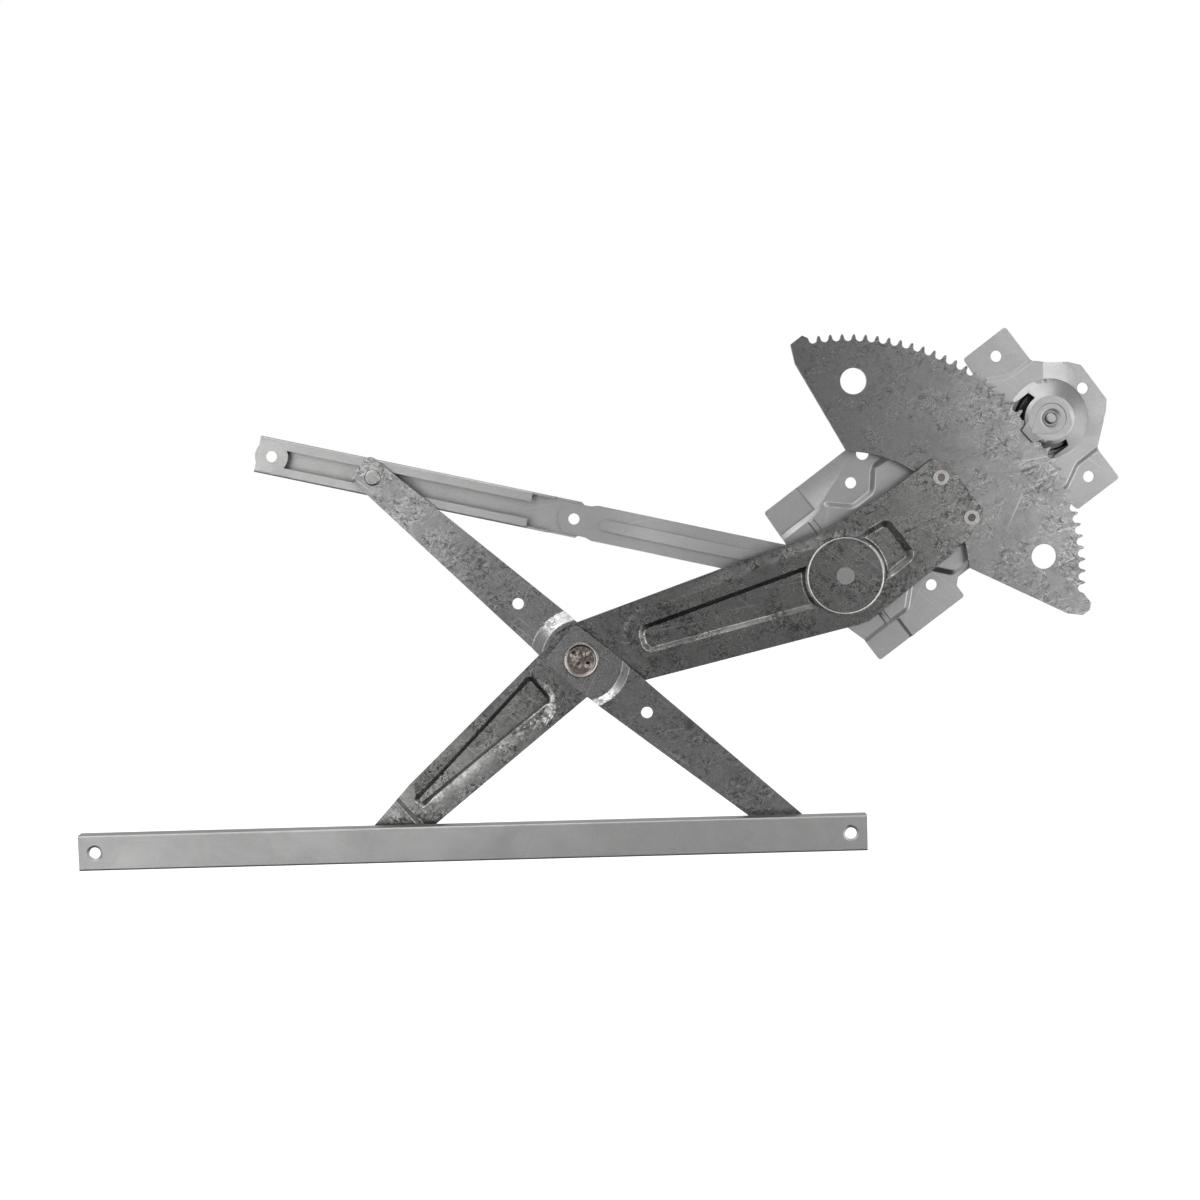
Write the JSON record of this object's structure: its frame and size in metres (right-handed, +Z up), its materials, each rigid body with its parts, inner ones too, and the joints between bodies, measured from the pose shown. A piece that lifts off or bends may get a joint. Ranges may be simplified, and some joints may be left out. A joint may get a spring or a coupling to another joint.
{
  "type": "window regulator",
  "caption": "Hand-cranked scissor window regulator: a geared pinion swings a toothed sector arm, and an equalizer arm keeps the glass lift channel level on sliding shoes.",
  "frame": {"origin": "on the crank spindle's axis, where the spindle leaves the brake drum", "axes": "X along the lift channel towards the housing, Z up the door, Y from the outer side to the trim side along the spindle"},
  "size_m": [0.5949, 0.0586, 0.2933],
  "materials": {
    "plate_steel": "satin zinc-plated sheet",
    "rail_steel": "satin zinc-plated sheet",
    "sector_steel": "hot-dip galvanised, spangled",
    "arm_steel": "hot-dip galvanised, spangled",
    "equalizer_steel": "hot-dip galvanised, spangled",
    "pin_steel": "plated, machined",
    "rivet_steel": "plain, slightly browned",
    "gear_steel": "hardened, dark, oiled",
    "bush_bronze": "sintered bearing metal",
    "spring_steel": "oiled spring wire",
    "shoe_plastic": "moulded nylon"
  },
  "bodies": {
    "base": {"base_plate": "plate_steel", "guide_arm": "plate_steel", "guide_channel": "rail_steel", "pivot_bush": "bush_bronze", "brake_drum": "plate_steel", "spindle_bush": "bush_bronze"},
    "lift_arm_body": {"lift_arm": "arm_steel", "sector_gear": "sector_steel", "sector_rivets": "rivet_steel", "pivot_pin": "pin_steel", "pivot_washer": "pin_steel", "hub_bush": "bush_bronze", "lift_stud": "pin_steel"},
    "equalizer": {"equalizer_rear": "equalizer_steel", "equalizer_front": "equalizer_steel", "hub_rivet": "pin_steel", "channel_stud": "pin_steel", "guide_stud": "pin_steel"},
    "crank": {"crank_spindle": "pin_steel", "brake_spring": "spring_steel", "pinion_gear": "gear_steel"},
    "lift_shoe_body": {"lift_shoe": "shoe_plastic"},
    "channel_shoe_body": {"channel_shoe": "shoe_plastic"},
    "guide_shoe_body": {"guide_shoe": "shoe_plastic"},
    "lift_channel_body": {"lift_channel": "rail_steel"}
  },
  "joints": [
    {"name": "lift_pivot", "type": "hinge", "parent": "base", "child": "lift_arm_body", "pos_m": [-0.11693, -0.02, -0.08558], "axis": [0, 1, 0], "range_deg": [-24, 56]},
    {"name": "equalizer_pivot", "type": "hinge", "parent": "lift_arm_body", "child": "equalizer", "pos_m": [-0.26785, -0.02, -0.12885], "axis": [0, 1, 0], "range_deg": [-112, 48]},
    {"name": "lift_shoe_pivot", "type": "hinge", "parent": "lift_arm_body", "child": "lift_shoe_body", "pos_m": [-0.38812, -0.0291, -0.22977], "axis": [0, 1, 0], "range_deg": [-56, 24]},
    {"name": "channel_shoe_pivot", "type": "hinge", "parent": "equalizer", "child": "channel_shoe_body", "pos_m": [-0.14758, -0.0291, -0.22977], "axis": [0, 1, 0], "range_deg": [-24, 56]},
    {"name": "guide_shoe_pivot", "type": "hinge", "parent": "equalizer", "child": "guide_shoe_body", "pos_m": [-0.38341, -0.0043, -0.02258], "axis": [0, 1, 0], "range_deg": [-24, 56]},
    {"name": "crank_turn", "type": "hinge", "parent": "base", "child": "crank", "pos_m": [0, 0, 0], "axis": [0, 1, 0], "range_deg": [-716.8, 307.2]},
    {"name": "lift_channel_slide", "type": "slide", "parent": "channel_shoe_body", "child": "lift_channel_body", "axis": [1, 0, 0], "range_m": [-0.008, 0.075]}
  ],
  "couplings": [
    {"joint": "equalizer_pivot", "follows": "lift_pivot", "ratio": -2},
    {"joint": "lift_shoe_pivot", "follows": "lift_pivot", "ratio": -1},
    {"joint": "channel_shoe_pivot", "follows": "lift_pivot", "ratio": 1},
    {"joint": "guide_shoe_pivot", "follows": "lift_pivot", "ratio": 1},
    {"joint": "crank_turn", "follows": "lift_pivot", "ratio": -12.8}
  ]
}
